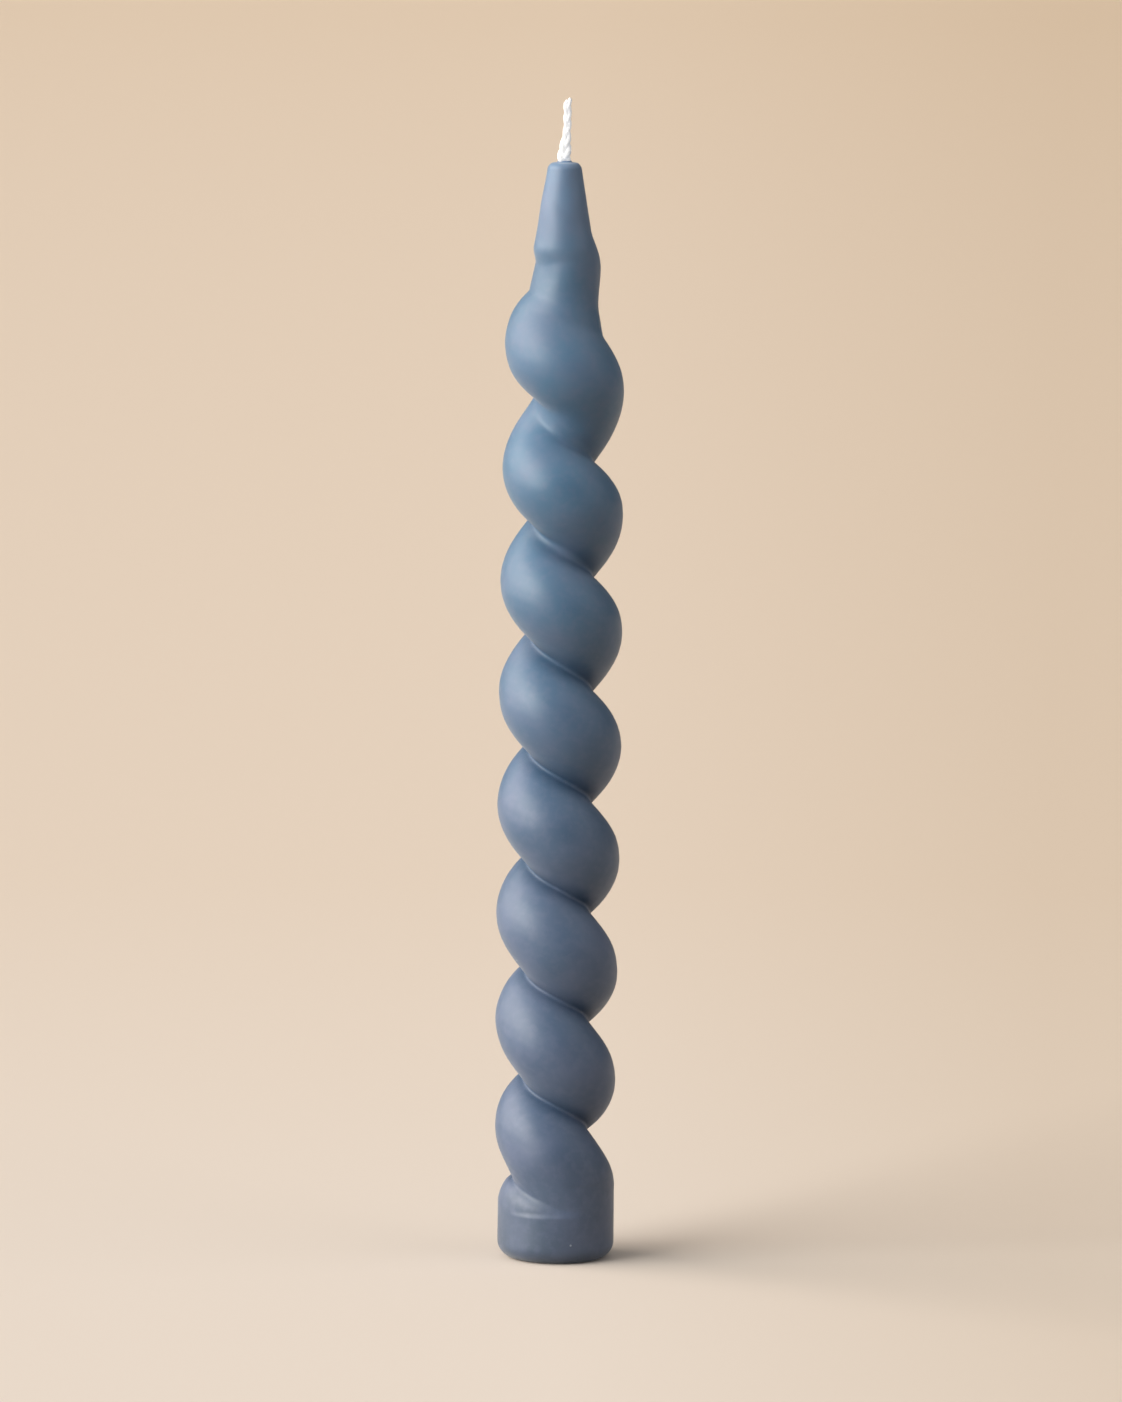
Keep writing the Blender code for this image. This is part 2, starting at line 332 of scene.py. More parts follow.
@dataclass(frozen=True)
class DyedWaxFinish:
    """Paraffin wax, dyed through and cast in a smooth mould.

    The mould leaves a satin skin with a broad soft highlight. Light goes about half a millimetre into the
    wax, so its edges glow a little, and the dye clouds where the wax cooled unevenly. A thin bloom lies on
    the open faces. The creases are darkened with painted shade, a deep colour laid in where little open air
    is round a point, and the same mask turns their gloss and bloom down so that they don't shine.
    """

    # Colour at each height, darker and greyer at the foot and bluer and paler towards the tip; the darker
    # stop at 184 mm is painted shade where the neck meets the coil's last turn.
    tones: tuple[tuple[float, str], ...] = (
        (4.0 * MM, "#4d5f77"),
        (25.0 * MM, "#536988"),
        (80.0 * MM, "#526d8c"),
        (95.0 * MM, "#547293"),
        (120.0 * MM, "#547797"),
        (170.0 * MM, "#547fa1"),
        # Painted shade where the neck meets the coil's last turn.
        (184.0 * MM, "#547897"),
        (194.0 * MM, "#6987a6"),
        (204.0 * MM, "#7190b1"),
    )
    tallest: float = 220.0 * MM
    # Pale clouds in the dye, and finer frost on the skin
    pale_colour: str = "#7e87a5"
    cloud_size: float = 11.0 * MM
    cloud_detail: float = 3.0
    cloud_range: tuple[float, float] = (0.42, 0.68)
    cloud_share: float = 0.34
    frost_size: float = 1.6 * MM
    frost_detail: float = 4.0
    frost_range: tuple[float, float] = (0.45, 0.7)
    frost_share: float = 0.2
    frost_bump: tuple[float, float] = (0.25, 0.03 * MM)
    grain_size: float = 0.25 * MM
    grain_detail: float = 2.0
    grain_bump: tuple[float, float] = (0.2, 0.006 * MM)
    # Dust specks, full out to their radius and gone at this many times it
    speck_colour: str = "#c4ccd6"
    speck_share: float = 0.75
    speck_spacing: float = 11.0 * MM
    speck_radius: float = 0.12 * MM
    speck_end: float = 2.2
    # Painted shade in the creases: a deep colour laid in where there is little open air round a point
    painted_crease_shade: str = "#263f57"
    painted_shade_share: float = 0.95
    crease_width: float = 6.5 * MM
    crease_range: tuple[float, float] = (0.32, 0.88)
    crease_samples: int = 8
    dull_range: tuple[float, float] = (0.1, 0.6)
    # Shine of the skin, which handling makes a little uneven
    gloss: float = 0.8
    gloss_in_crease: float = 0.12
    bloom: float = 0.25
    bloom_roughness: float = 0.5
    handled_range: tuple[float, float] = (0.3, 0.7)
    roughness_range: tuple[float, float] = (0.42, 0.53)
    refraction: float = 1.44
    # Light inside the wax, of which blue goes furthest
    light_share: float = 0.4
    light_depth: float = 0.45 * MM
    light_spread: tuple[float, float, float] = (0.75, 0.95, 1.30)

    def colour(self, tree: Tree, place: Socket, clouds: Socket, frost: Socket) -> Socket:
        """Colours the wax, before the painted shade in its creases.

        Args:
            tree: The wax's node tree.
            place: Where each point lies.
            clouds: Noise for the clouds in the dye.
            frost: Noise for the frost on the skin.

        Returns:
            The colour.
        """
        height = add_node(tree, "ShaderNodeSeparateXYZ", {"Vector": place}).outputs["Z"]
        rise = remap(tree, height, (0.0, self.tallest), (0.0, 1.0))
        # Colour by height, with painted shade in the darker band at the neck's lower end.
        tone_by_height = shade(tree, rise, tuple((tone_height / self.tallest, code) for tone_height, code in self.tones))
        pale = linear_colour(self.pale_colour)
        cloudy = remap(tree, clouds, self.cloud_range, (0.0, self.cloud_share))
        frosty = remap(tree, frost, self.frost_range, (0.0, self.frost_share))
        skin = mix_colours(tree, frosty, mix_colours(tree, cloudy, tone_by_height, pale), pale)
        cells = add_node(tree, "ShaderNodeTexVoronoi", {"Vector": place, "Scale": 1.0 / self.speck_spacing})
        radius = self.speck_radius / self.speck_spacing
        specks = remap(
            tree, cells.outputs["Distance"], (radius, self.speck_end * radius), (self.speck_share, 0.0)
        )
        return mix_colours(tree, specks, skin, linear_colour(self.speck_colour))

    def make(self) -> bpy.types.Material:
        """Returns the wax material."""
        material, tree = new_tree("dyed_paraffin_moulded")
        place = add_node(tree, "ShaderNodeTexCoord").outputs["Object"]
        clouds = noise(tree, place, self.cloud_size, self.cloud_detail)
        frost = noise(tree, place, self.frost_size, self.frost_detail)
        grain = noise(tree, place, self.grain_size, self.grain_detail)
        air = add_node(
            tree,
            "ShaderNodeAmbientOcclusion",
            {"Distance": self.crease_width},
            samples=self.crease_samples,
            only_local=True,
        )
        # Painted shade: the creases get a deep colour, and less gloss and bloom, where little open air is
        # round a point.
        crease = remap(tree, air.outputs["AO"], self.crease_range, (self.painted_shade_share, 0.0))
        gloss = remap(tree, crease, self.dull_range, (self.gloss, self.gloss_in_crease))
        bloom = remap(tree, crease, self.dull_range, (self.bloom, 0.0))
        open_colour = self.colour(tree, place, clouds, frost)
        colour = mix_colours(tree, crease, open_colour, linear_colour(self.painted_crease_shade))
        shader = add_node(
            tree,
            "ShaderNodeBsdfPrincipled",
            {
                "Base Color": colour,
                "Roughness": remap(tree, clouds, self.handled_range, self.roughness_range),
                "IOR": self.refraction,
                "Metallic": 0.0,
                "Specular IOR Level": gloss,
                "Sheen Weight": bloom,
                "Sheen Roughness": self.bloom_roughness,
                "Subsurface Weight": self.light_share,
                "Subsurface Radius": self.light_spread,
                "Subsurface Scale": self.light_depth,
                "Normal": bump(tree, grain, self.grain_bump, bump(tree, frost, self.frost_bump)),
            },
            subsurface_method="RANDOM_WALK",
        )
        add_node(tree, "ShaderNodeOutputMaterial", {"Surface": shader.outputs["BSDF"]})
        return material


@dataclass(frozen=True)
class PrimedCottonFinish:
    """White cotton yarn, plaited and primed with clear wax.

    The fibres scatter light like any white cotton, and the wax binds them down to a soft sheen. A faint even
    glow is painted over the cotton, painted light that keeps its shaded side bright.
    """

    colour: str = "#faf9f6"
    groove_colour: str = "#f0efeb"
    groove_range: tuple[float, float] = (0.32, 0.55)
    groove_share: float = 0.5
    # Painted light: an even glow over the cotton, that keeps its shaded side bright.
    painted_glow_colour: str = "#f4f7ff"
    painted_glow: float = 0.2
    roughness: float = 0.6
    refraction: float = 1.50
    fuzz: float = 0.25
    fuzz_roughness: float = 0.5
    # Fibres, drawn out along the wick
    fibre_size: float = 0.06 * MM
    fibre_detail: float = 3.0
    fibre_stretch: float = 0.22
    fibre_bump: tuple[float, float] = (0.2, 0.02 * MM)
    light_depth: float = 1.2 * MM

    def make(self) -> bpy.types.Material:
        """Returns the cotton material."""
        material, tree = new_tree("primed_cotton_plaited")
        place = add_node(tree, "ShaderNodeTexCoord").outputs["Object"]
        stretch = {"Vector": place, "Scale": (1.0, 1.0, self.fibre_stretch)}
        along = add_node(tree, "ShaderNodeMapping", stretch).outputs["Vector"]
        fibres = noise(tree, along, self.fibre_size, self.fibre_detail)
        groove = remap(tree, fibres, self.groove_range, (self.groove_share, 0.0))
        colour = mix_colours(tree, groove, linear_colour(self.colour), linear_colour(self.groove_colour))
        shader = add_node(
            tree,
            "ShaderNodeBsdfPrincipled",
            {
                "Base Color": colour,
                "Roughness": self.roughness,
                "IOR": self.refraction,
                "Subsurface Weight": 1.0,
                "Subsurface Radius": (1.0, 1.0, 1.0),
                "Subsurface Scale": self.light_depth,
                "Sheen Weight": self.fuzz,
                "Sheen Roughness": self.fuzz_roughness,
                "Emission Color": linear_colour(self.painted_glow_colour),
                "Emission Strength": self.painted_glow,
                "Normal": bump(tree, fibres, self.fibre_bump),
            },
            subsurface_method="RANDOM_WALK",
        )
        add_node(tree, "ShaderNodeOutputMaterial", {"Surface": shader.outputs["BSDF"]})
        return material


@dataclass(frozen=True)
class PaperFinish:
    """Matt seamless paper: pulp rolled smooth and left uncoated, with a faint tooth and hardly any shine.

    It is the plain pale ground, with painted light falloff: darker and warmer in tone further back and
    towards the right.
    """

    near_colour: str = "#eadfd5"
    middle_colour: str = "#e6d7c8"
    far_colour: str = "#e1ceb9"
    middle: float = 0.5
    far: float = 5.0
    # The painted falloff to the right is full at this distance, which grows with the distance from the
    # candle.
    painted_falloff_tint: str = "#f4f1ec"
    right_nearby: float = 0.092
    right_spread: float = 0.0555
    roughness: float = 0.9
    gloss: float = 0.2
    fibre_size: float = 1.5 * MM
    fibre_detail: float = 3.0
    fibre_bump: tuple[float, float] = (0.1, 0.02 * MM)

    def make(self) -> bpy.types.Material:
        """Returns the paper material."""
        material, tree = new_tree("seamless_paper")
        place = add_node(tree, "ShaderNodeTexCoord").outputs["Object"]
        parts = add_node(tree, "ShaderNodeSeparateXYZ", {"Vector": place}).outputs
        # Painted light falloff: the paper darkens and warms towards the back and the right.
        depth = remap(tree, parts["Y"], (0.0, self.far), (0.0, 1.0))
        middle = self.middle / self.far
        stops = ((0.0, self.near_colour), (middle, self.middle_colour), (1.0, self.far_colour))
        tone = shade(tree, depth, stops)
        away = add_node(tree, "ShaderNodeMath", {0: parts["Y"]}, operation="ABSOLUTE").outputs["Value"]
        spread = {0: away, 1: self.right_spread, 2: self.right_nearby}
        reach = add_node(tree, "ShaderNodeMath", spread, operation="MULTIPLY_ADD").outputs["Value"]
        ratio = {0: parts["X"], 1: reach}
        across = add_node(tree, "ShaderNodeMath", ratio, operation="DIVIDE", use_clamp=True).outputs["Value"]
        colour = mix_colours(tree, across, tone, linear_colour(self.painted_falloff_tint), blend="MULTIPLY")
        pulp = noise(tree, place, self.fibre_size, self.fibre_detail)
        shader = add_node(
            tree,
            "ShaderNodeBsdfPrincipled",
            {
                "Base Color": colour,
                "Roughness": self.roughness,
                "Specular IOR Level": self.gloss,
                "Normal": bump(tree, pulp, self.fibre_bump),
            },
        )
        add_node(tree, "ShaderNodeOutputMaterial", {"Surface": shader.outputs["BSDF"]})
        return material


@dataclass(frozen=True)
class Foot:
    """The plain round plug that seats in a candlestick, with a soft shoulder that rises most on the left."""

    diameter: float = 22.0 * MM
    height: float = 9.0 * MM
    edge_radius: float = 3.1 * MM
    shoulder_depth: float = 3.0 * MM
    rise_left: float = 6.3 * MM
    rise_right: float = 0.8 * MM
    rise_fall: float = 1.5
    held_height: float = 15.0 * MM
    rope_flare: float = 0.5
    hollow_depth: float = 0.32 * MM
    hollow_height: float = 2.2 * MM
    hollow_lip: float = 0.4 * MM
    hollow_angle: float = math.radians(-104.0)
    hollow_width: float = math.radians(30.0)

    def hollow(self, angles: np.ndarray, heights: np.ndarray) -> np.ndarray:
        """Measures the slight hollow that the mould leaves at the front, between the plug's rim and the rope.

        Args:
            angles: Direction of each point from the axis.
            heights: Height of each point.

        Returns:
            How far the hollow sinks in.
        """
        above = np.clip(heights - self.height, 0.0, None)
        lip = 1.0 - np.exp(-((above / self.hollow_lip) ** 2))
        upward = np.exp(-((above / self.hollow_height) ** 2))
        sideways = np.exp(-(((angles - self.hollow_angle) / self.hollow_width) ** 2))
        return self.hollow_depth * lip * upward * sideways

    def reach(self, angles: np.ndarray, heights: np.ndarray) -> np.ndarray:
        """Measures the plug.

        Args:
            angles: Direction of each point from the axis.
            heights: Height of each point.

        Returns:
            Reach of the plug, and 0 above its shoulder.
        """
        edge = round_edge(self.edge_radius, self.edge_radius - heights)
        left_share = ((1.0 - np.cos(angles)) / 2.0) ** self.rise_fall
        rise = self.rise_right + (self.rise_left - self.rise_right) * left_share
        climbed = (heights - self.height) / rise
        shoulder = self.shoulder_depth * round_edge(1.0, climbed)
        return np.where(climbed < 1.0, self.diameter / 2.0 - edge - shoulder, 0.0)

    def hold(self, reach: np.ndarray, heights: np.ndarray) -> np.ndarray:
        """Holds the wax flush with the plug, as the mould's plain ring does, and lets it flare out above.

        Args:
            reach: Reach of the wax before it is held.
            heights: Height of each point.

        Returns:
            The reach, held in by the ring.
        """
        flare = self.rope_flare * np.clip(heights - self.held_height, 0.0, None)
        return np.minimum(reach, self.diameter / 2.0 + flare)


@dataclass(frozen=True)
class Tip:
    """The plain cone at the top, with a soft heel, and its rounded rim round the wick."""

    heel_rise: float = 7.0 * MM
    heel_radius: float = 3.6 * MM
    length: float = 15.45 * MM
    base_diameter: float = 11.1 * MM
    top_diameter: float = 6.0 * MM
    edge_radius: float = 1.2 * MM

    def reach(self, above_base: np.ndarray) -> np.ndarray:
        """Returns the radius of the cone at each height above its base."""
        slope = (self.base_diameter - self.top_diameter) / 2.0 / self.length
        heel = np.clip(-above_base, 0.0, None) ** 2 / (2.0 * self.heel_radius)
        edge = round_edge(self.edge_radius, above_base - (self.length - self.edge_radius))
        return np.clip(self.base_diameter / 2.0 - slope * above_base - heel - edge, 0.0, None)


@dataclass(frozen=True)
class RopeCoil:
    """The round rope of wax, wound to the left round the axis in turns that lie close on each other."""

    turns: float = 8.36
    hand: Hand = Hand.LEFT
    start_angle: float = math.radians(-77.0)
    start_height: float = -1.5 * MM
    end_height: float = 176.2 * MM
    sway: float = 3.15 * MM
    pitch_at_foot: float = 20.0 * MM
    diameter_at_foot: float = 15.8 * MM
    diameter_midway: float = 16.8 * MM
    diameter_at_neck: float = 16.0 * MM
    crease_fillet: float = 0.9 * MM
    lean_at_foot: float = -0.43 * MM
    lean_at_neck: float = 0.3 * MM
    lean_start: float = 0.42
    lean_growth: float = 0.60
    filled_turns: float = 0.82
    fill_fade: float = 0.36
    tip_at_foot: float = -1.23 * MM
    tip_at_neck: float = 1.18 * MM
    first_turn_squeeze: float = 2.9 * MM
    squeeze_start: float = 0.21
    squeeze_turns: float = 0.74
    last_turn_stretch: float = 1.7 * MM
    stretch_end: float = 0.40
    stretch_turns: float = 0.48
    envelope_samples: int = 41
    turn_step: float = 0.01

    def angle(self, turns: np.ndarray) -> np.ndarray:
        """Returns the direction of the rope's centre after this many turns."""
        return self.start_angle + self.hand.value * FULL_TURN * turns

    def height(self, turns: np.ndarray) -> np.ndarray:
        """Returns the height of the rope's centre line, before each turn is tipped."""
        even_climb = self.end_height - self.last_turn_stretch - self.start_height
        growth = 2.0 * (even_climb / self.turns - self.pitch_at_foot) / self.turns
        climb = self.pitch_at_foot * turns + growth * turns**2 / 2.0
        squeeze = 1.0 - ease((turns - self.squeeze_start) / self.squeeze_turns)
        stretch_start = self.turns - self.stretch_end - self.stretch_turns
        stretch = self.last_turn_stretch * ease((turns - stretch_start) / self.stretch_turns)
        return self.start_height + climb + self.first_turn_squeeze * squeeze + stretch

    def radius(self, turns: np.ndarray) -> np.ndarray:
        """Returns the rope's radius, which swells a little midway up."""
        share = turns / self.turns
        ends = self.diameter_at_foot + (self.diameter_at_neck - self.diameter_at_foot) * share
        belly = self.diameter_midway - (self.diameter_at_foot + self.diameter_at_neck) / 2.0
        return (ends + belly * 4.0 * share * (1.0 - share)) / 2.0

    def turns_at(self, heights: np.ndarray) -> np.ndarray:
        """Returns how many turns the rope has made at each height."""
        turns = np.arange(-1.0, self.turns + 2.0, self.turn_step)
        return np.interp(heights, self.height(turns), turns)

    def filling(self, turns: np.ndarray) -> np.ndarray:
        """Returns 1 where wax fills the rope out from below as it leaves the foot, and 0 further up."""
        return 1.0 - ease((turns - self.filled_turns) / self.fill_fade)

    def branch(self, angles: np.ndarray, heights: np.ndarray, middle: np.ndarray) -> np.ndarray:
        """Sweeps a ball along one turn of the rope and measures its skin.

        Args:
            angles: Direction of each point from the axis.
            heights: Height of each point.
            middle: Turns that the rope has made where it passes that direction.

        Returns:
            Reach of the skin of that turn.
        """
        reach = np.zeros(np.broadcast_shapes(angles.shape, heights.shape))
        for offset in np.linspace(-0.5, 0.5, self.envelope_samples):
            turns = np.clip(middle + offset, 0.0, self.turns)
            tip = self.tip_at_foot + (self.tip_at_neck - self.tip_at_foot) * turns / self.turns
            centre = self.height(turns) + tip * np.cos(self.angle(turns))
            below = centre - heights
            below = np.where(below > 0.0, below * (1.0 - self.filling(turns)), below)
            disc = np.sqrt(np.clip(self.radius(turns) ** 2 - below**2, 0.0, None))
            reach = np.maximum(reach, disc_reach(disc, self.sway, angles - self.angle(turns)))
        on_rope = (middle > -0.5) & (middle < self.turns + 0.5)
        return np.where(on_rope, reach, 0.0)

    def reach(self, angles: np.ndarray, heights: np.ndarray) -> np.ndarray:
        """Joins the nearest turns of the rope, with a fillet in the crease between them.

        Args:
            angles: Direction of each point from the axis.
            heights: Height of each point.

        Returns:
            Reach of the coil.
        """
        share = self.hand.value * (angles - self.start_angle) / FULL_TURN
        turns = self.turns_at(heights)
        nearest = np.round(turns - share)
        middles = [share + nearest + step for step in (-1.0, 0.0, 1.0)]
        passes = np.sort([self.branch(angles, heights, middle) for middle in middles], axis=0)
        coil = fillet_join(passes[2], passes[1], self.crease_fillet)
        height_share = np.clip(turns / self.turns, 0.0, 1.0)
        lean = self.lean_at_foot + (self.lean_at_neck - self.lean_at_foot) * height_share
        lean *= ease((turns - self.lean_start) / self.lean_growth)
        return np.where(coil > 0.0, coil + lean * np.cos(angles), 0.0)


@dataclass(frozen=True)
class Neck:
    """The thinner rope between the coil and the cone, which goes on turning the same way.

    Its lower end is rounded and lies inside the coil.
    """

    diameter: float = 13.2 * MM
    length: float = 8.4 * MM
    sway: float = 0.94 * MM
    lean: float = 0.87 * MM
    pitch: float = 23.9 * MM
    turn: float = math.radians(84.0)
    shoulder_tip: float = 4.3 * MM
    shoulder_radius: float = 27.8 * MM

    def reach(self, angles: np.ndarray, heights: np.ndarray, coil: RopeCoil) -> np.ndarray:
        """Measures the neck.

        Args:
            angles: Direction of each point from the axis.
            heights: Height of each point.
            coil: The coil whose last turn the neck carries on.

        Returns:
            Reach of the neck, and 0 below it.
        """
        climbed = heights - coil.end_height
        direction = coil.angle(coil.turns) + self.turn + coil.hand.value * FULL_TURN * climbed / self.pitch
        past = climbed - self.length + self.shoulder_tip * np.cos(angles)
        radius = np.clip(self.diameter / 2.0 - round_edge(self.shoulder_radius, past), 0.0, None)
        below_start = np.clip(-coil.diameter_at_neck / 2.0 - climbed, 0.0, None)
        disc = np.sqrt(np.clip(radius**2 - below_start**2, 0.0, None))
        neck = disc_reach(disc, self.sway, angles - direction)
        return np.where(neck > 0.0, neck + self.lean * np.cos(angles), 0.0)


@dataclass(frozen=True)
class Unevenness:
    """The slight waviness of a skin that shrank as it cooled in the mould."""

    depth: float = 0.035 * MM
    shortest: float = 7.0 * MM
    longest: float = 30.0 * MM
    waves: int = 28
    most_round: int = 5
    seed: int = 7

    def rise(self, angles: np.ndarray, heights: np.ndarray) -> np.ndarray:
        """Adds up waves that run round and along the candle.

        Args:
            angles: Direction of each point from the axis.
            heights: Height of each point.

        Returns:
            How far the skin stands out or in at each point.
        """
        draw = np.random.default_rng(self.seed)
        total = np.zeros(np.broadcast_shapes(angles.shape, heights.shape))
        for _ in range(self.waves):
            around = int(draw.integers(-self.most_round, self.most_round + 1))
            length = draw.uniform(self.shortest, self.longest)
            phase = draw.uniform(0.0, FULL_TURN)
            total += np.sin(around * angles + FULL_TURN * heights / length + phase)
        return self.depth * total / math.sqrt(self.waves / 2.0)


@dataclass
class Wick:
    """Three cotton strands: straight up through the wax, and a flat plait where they stand free of it."""

    mouth: float  # height of the rim that it comes out of
    strands: int = 3
    free_length: float = 12.1 * MM
    end_step: float = 0.35 * MM
    recess: float = 0.4 * MM
    plait_length: float = 6.9 * MM
    first_bump: float = 1.3 * MM
    width_at_base: float = 2.62 * MM
    width_above: float = 1.56 * MM
    width_settles: float = 6.2 * MM
    width_in_widths: float = 2.15  # the plait's width in widths of one strand
    ring_in_wax: float = 0.56 * MM
    strand_in_wax: float = 0.80 * MM
    lean_start: float = -0.12 * MM
    lean_end: float = 0.46 * MM
    lean_height: float = 7.5 * MM
    blend_depth: float = 3.0 * MM
    plies: int = 4
    ply_depth: float = 0.03
    plait_depth: float = 0.22
    ply_lay: float = 1.9 * MM
    ply_hand: Hand = Hand.RIGHT
    lump: float = 0.03
    lump_waves: int = 12
    lump_folds: int = 3
    lump_shortest: float = 0.5 * MM
    lump_longest: float = 2.6 * MM
    sides: int = 28
    ring_spacing: float = 0.07 * MM
    buried_rings: int = 24
    dome_rings: int = 7
    blunt_end: float = 0.05
    seed: int = 21
    finish: PrimedCottonFinish = field(default_factory=PrimedCottonFinish)

    def strand_diameter(self, rise: np.ndarray) -> np.ndarray:
        """Returns the thickness of a strand at each height above the wax."""
        share = ease((rise - self.first_bump) / (self.width_settles - self.first_bump))
        above = (self.width_at_base + (self.width_above - self.width_at_base) * share) / self.width_in_widths
        entering = self.strand_in_wax + (above - self.strand_in_wax) * self.out_of_wax(rise)
        return np.where(rise < 0.0, entering, above)

    def out_of_wax(self, rise: np.ndarray) -> np.ndarray:
        """Returns 0 deep in the wax, and 1 from its mouth up."""
        return ease(1.0 + rise / self.blend_depth)

    def path(self, index: int, rise: np.ndarray) -> np.ndarray:
        """Lays out the middle line of one strand.

        Args:
            index: Which strand, from 0.
            rise: Heights above the wax, below 0 inside it.

        Returns:
            One row of x, y and z for each height.
        """
        turn = FULL_TURN * ((rise - self.first_bump) / self.plait_length + 0.5 + index / self.strands)
        thick = self.strand_diameter(rise)
        across = (self.width_in_widths - 1.0) / 2.0 * thick * np.cos(turn)
        depth = self.plait_depth * thick * np.sin(2.0 * turn)
        buried = FULL_TURN * index / self.strands
        free = self.out_of_wax(rise)
        lean = self.lean_start + (self.lean_end - self.lean_start) * ease(rise / self.lean_height)
        x = free * (across + lean) + (1.0 - free) * self.ring_in_wax * math.cos(buried)
        y = free * depth + (1.0 - free) * self.ring_in_wax * math.sin(buried)
        return np.stack([x, y, self.mouth + rise], axis=-1)

    def rises(self, index: int) -> np.ndarray:
        """Returns the heights of one strand's rings above the wax, from its foot to its cut end."""
        top = self.free_length - self.end_step * index
        buried = np.linspace(self.recess - self.mouth, -self.blend_depth, self.buried_rings, endpoint=False)
        count = round((top + self.blend_depth) / self.ring_spacing)
        return np.concatenate([buried, np.linspace(-self.blend_depth, top, count)])

    def strand_points(self, index: int) -> np.ndarray:
        """Sweeps a plied yarn along one strand's middle line.

        Args:
            index: Which strand, from 0.

        Returns:
            Points of the rings, as rings by sides by x, y and z.
        """
        rise = self.rises(index)
        middle = self.path(index, rise)
        along = np.gradient(middle, axis=0)
        along /= np.linalg.norm(along, axis=1, keepdims=True)
        across = np.array([1.0, 0.0, 0.0]) - along * along[:, :1]
        across /= np.linalg.norm(across, axis=1, keepdims=True)
        outward = np.cross(along, across)
        around = FULL_TURN * np.arange(self.sides) / self.sides
        draw = np.random.default_rng(self.seed + index)
        lay = FULL_TURN * rise[:, None] / self.ply_lay * self.ply_hand.value
        lumps = np.zeros((len(rise), self.sides))
        for _ in range(self.lump_waves):
            fold = draw.integers(1, self.lump_folds + 1)
            length = draw.uniform(self.lump_shortest, self.lump_longest)
            phase = draw.uniform(0.0, FULL_TURN)
            lumps += np.sin(fold * around + FULL_TURN * rise[:, None] / length + phase)
        plied = self.ply_depth * np.cos(self.plies * (around - lay))
        lumpy = self.lump * lumps / math.sqrt(self.lump_waves / 2.0)
        to_end = np.clip((rise[-1] - rise) / (self.dome_rings * self.ring_spacing), 0.0, 1.0)
        dome = np.sqrt(np.clip(1.0 - (1.0 - to_end) ** 2, self.blunt_end, 1.0))
        radius = self.strand_diameter(rise)[:, None] / 2.0 * (1.0 + plied + lumpy) * dome[:, None]
        sideways = across[:, None, :] * np.cos(around)[None, :, None]
        offset = sideways + outward[:, None, :] * np.sin(around)[None, :, None]
        return middle[:, None, :] + offset * radius[:, :, None]

    def build(self) -> list[bpy.types.Object]:
        """Builds and dresses the strands.

        Returns:
            One object for each strand.
        """
        material = self.finish.make()
        built = []
        for index in range(self.strands):
            rings = self.strand_points(index)
            faces = tube_faces(len(rings), self.sides, closed=True)
            strand = show_mesh(f"wick_strand_{index + 1}_plaited", rings.reshape(-1, 3), faces)
            strand.data.materials.append(material)
            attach(strand, BODY)
            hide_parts(f"wick_strand_{index + 1}")
            built.append(strand)
        return built


